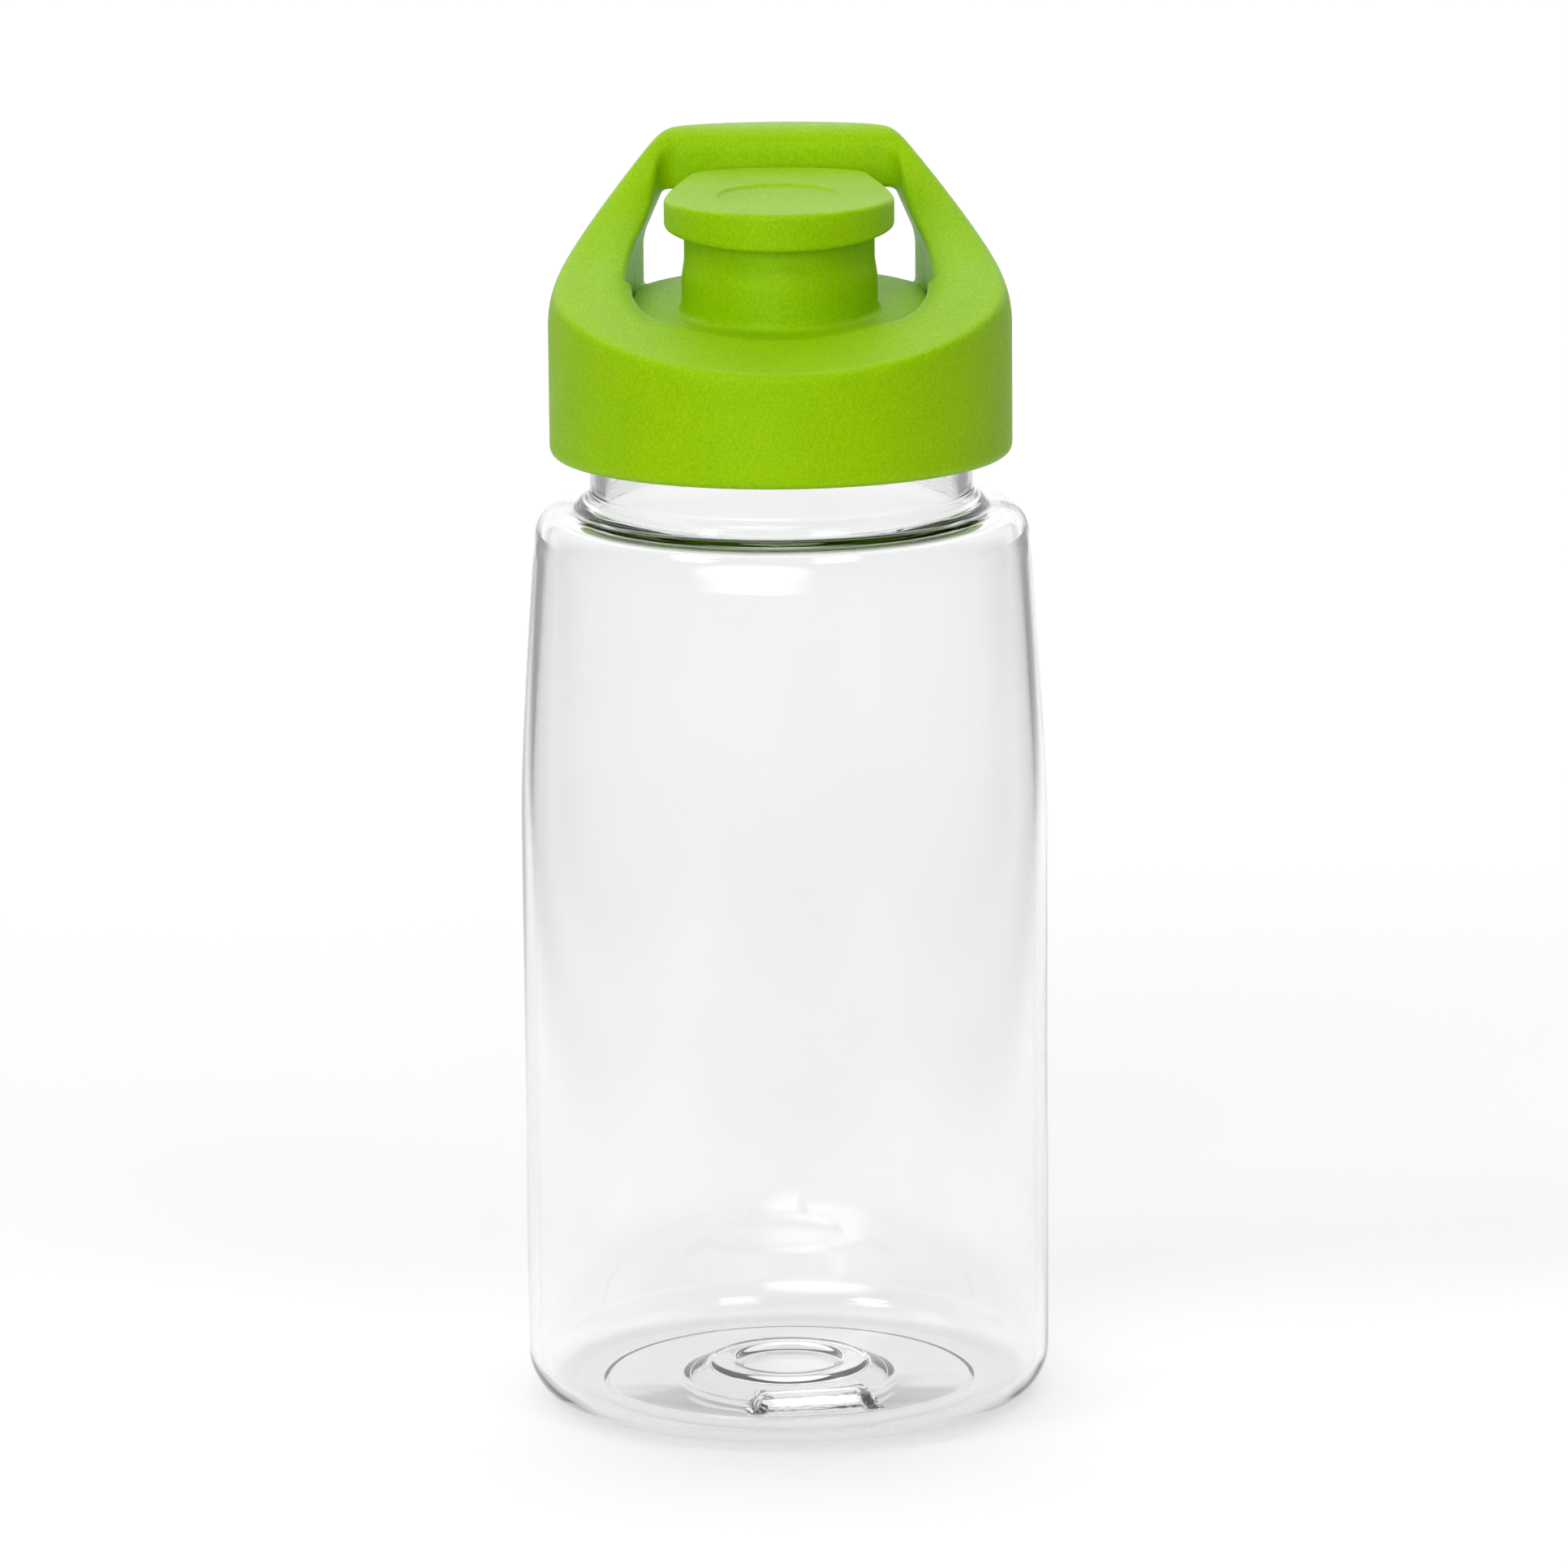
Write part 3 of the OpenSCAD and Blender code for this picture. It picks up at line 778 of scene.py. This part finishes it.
def lamp(name, place, size, power):
    """A soft square light that faces the bottle, in metres."""
    data = bpy.data.lights.new(name, "AREA")
    data.shape = "RECTANGLE"
    data.size, data.size_y = size
    data.energy = power
    data.spread = LAMP_SPREAD
    light = bpy.data.objects.new(name, data)
    light.location = place
    towards = Vector(LAMP_TARGET) - Vector(place)
    light.rotation_euler = towards.to_track_quat("-Z", "Y").to_euler()
    bpy.context.collection.objects.link(light)


def lobe(tree, towards, low, high, bright):
    """Brightness that grows from dim to bright as the ray turns towards a direction."""
    direction = tree.nodes.new("ShaderNodeTexCoord").outputs["Generated"]
    dot = tree.nodes.new("ShaderNodeVectorMath")
    dot.operation = "DOT_PRODUCT"
    tree.links.new(direction, dot.inputs[0])
    dot.inputs[1].default_value = towards
    scale = tree.nodes.new("ShaderNodeMapRange")
    scale.interpolation_type = "SMOOTHSTEP"
    tree.links.new(dot.outputs["Value"], scale.inputs["Value"])
    scale.inputs["From Min"].default_value = low
    scale.inputs["From Max"].default_value = high
    scale.inputs["To Min"].default_value = SKY_DIM
    scale.inputs["To Max"].default_value = bright
    return scale.outputs["Result"]


def sky_colour(tree):
    """Bright behind, a little light from above, a window in front, and dim at the sides."""
    total, *others = [lobe(tree, *part) for part in SKY]
    for light in others:
        add = tree.nodes.new("ShaderNodeMath")
        add.operation = "ADD"
        tree.links.new(total, add.inputs[0])
        tree.links.new(light, add.inputs[1])
        total = add.outputs[0]
    return total


def fade_out(n, distance, low, high, start, end):
    """A value that goes smoothly from start to end as the distance goes from low to high."""
    fade = n.new("ShaderNodeMapRange", From_Min=low, From_Max=high, To_Min=start, To_Max=end)
    fade.interpolation_type = "SMOOTHSTEP"
    n.tree.links.new(distance, fade.inputs["Value"])
    return fade.outputs["Result"]


def math_node(n, operation, a, b=0.0):
    """The result of an operation on two values, each a socket or a number."""
    node = n.new("ShaderNodeMath")
    node.operation = operation
    for socket, value in zip(node.inputs, (a, b)):
        if isinstance(value, float):
            socket.default_value = value
        else:
            n.tree.links.new(value, socket)
    return node.outputs[0]


def lit_strip(n, x, y):
    """1 on the strip of the floor where light is painted, which widens towards the back, and 0
    off it.
    """
    widening = math_node(n, "MULTIPLY", y, -0.09)
    side = math_node(n, "ADD", math_node(n, "ABSOLUTE", x), widening)
    near = math_node(n, "MULTIPLY", y, -1.0)
    across = fade_out(n, side, 0.15, 0.26, 1.0, 0.0)
    ahead = fade_out(n, near, 0.12, 0.25, 1.0, 0.0)
    return math_node(n, "MULTIPLY", across, ahead)


def painted_strip_glow(n, strip, y):
    """The light the strip gives off, though the floor is no lamp: painted light, with more of
    it in front and right under the bottle, where it paints out the bottle's shadow.
    """
    far = fade_out(n, y, 0.1, 0.5, 0.335, 0.46)
    front = fade_out(n, y, -0.01, 0.08, 0.11, 0.0)
    glow = math_node(n, "MULTIPLY", strip, math_node(n, "ADD", far, front))
    middle = n.new("ShaderNodeVectorMath")
    middle.operation = "LENGTH"
    n.tree.links.new(n.where, middle.inputs[0])
    # painted light: the floor glows more right under the bottle, which paints out the bottle's
    # shadow
    under = fade_out(n, middle.outputs["Value"], 0.024, 0.036, 0.10, 0.0)
    return math_node(n, "ADD", glow, under)


def floor_material():
    """Pale card with a painted pool of light: lighter and glowing on a strip under and behind
    the bottle, greyer to the sides and ahead.
    """
    n = Nodes("pale_floor")
    split = n.new("ShaderNodeSeparateXYZ")
    n.tree.links.new(n.where, split.inputs[0])
    x, y = split.outputs["X"], split.outputs["Y"]
    strip = lit_strip(n, x, y)
    mottle = math_node(n, "MULTIPLY", n.noise(3), 0.03)
    # painted pool of light: the floor's colour is lighter on the strip and greyer off it
    pale = math_node(n, "ADD", fade_out(n, strip, 0.0, 1.0, 0.45, 0.72), mottle)
    return n.finish(
        Base_Color=pale, Roughness=0.9, Emission_Color=(1.0, 1.0, 1.0, 1.0),
        Emission_Strength=painted_strip_glow(n, strip, y),
    )


def floor():
    """A plain pale floor, far wider than the bottle."""
    low, high = -FLOOR_HALF, FLOOR_HALF
    corners = [(low, low, 0), (high, low, 0), (high, high, 0), (low, high, 0)]
    mesh = bpy.data.meshes.new("studio_floor")
    mesh.from_pydata(corners, [], [(0, 1, 2, 3)])
    mesh.materials.append(floor_material())
    card = bpy.data.objects.new("studio_floor", mesh)
    bpy.context.collection.objects.link(card)


def sky():
    """A soft sky of three bright parts."""
    world = bpy.data.worlds.new("studio")
    bpy.context.scene.world = world
    world.use_nodes = True
    light = world.node_tree.nodes["Background"]
    world.node_tree.links.new(sky_colour(world.node_tree), light.inputs["Color"])
    light.inputs["Strength"].default_value = 1.0


def camera():
    """A long lens, 1.1 m in front of the bottle and above it, that looks a little down."""
    data = bpy.data.cameras.new("camera")
    data.sensor_width = CAMERA_SENSOR
    data.lens = CAMERA_LENS
    data.clip_start = 0.05
    tilt = Matrix.Rotation(math.radians(90) - CAMERA_DOWN, 4, "X")
    roll = Matrix.Rotation(CAMERA_ROLL, 4, "Z")
    eye = bpy.data.objects.new("camera", data)
    eye.matrix_world = Matrix.Translation(CAMERA_PLACE) @ tilt @ roll
    bpy.context.collection.objects.link(eye)
    bpy.context.scene.camera = eye


floor()
sky()
for settings in LAMPS:
    lamp(*settings)
camera()
bpy.context.scene.view_settings.view_transform = "Standard"
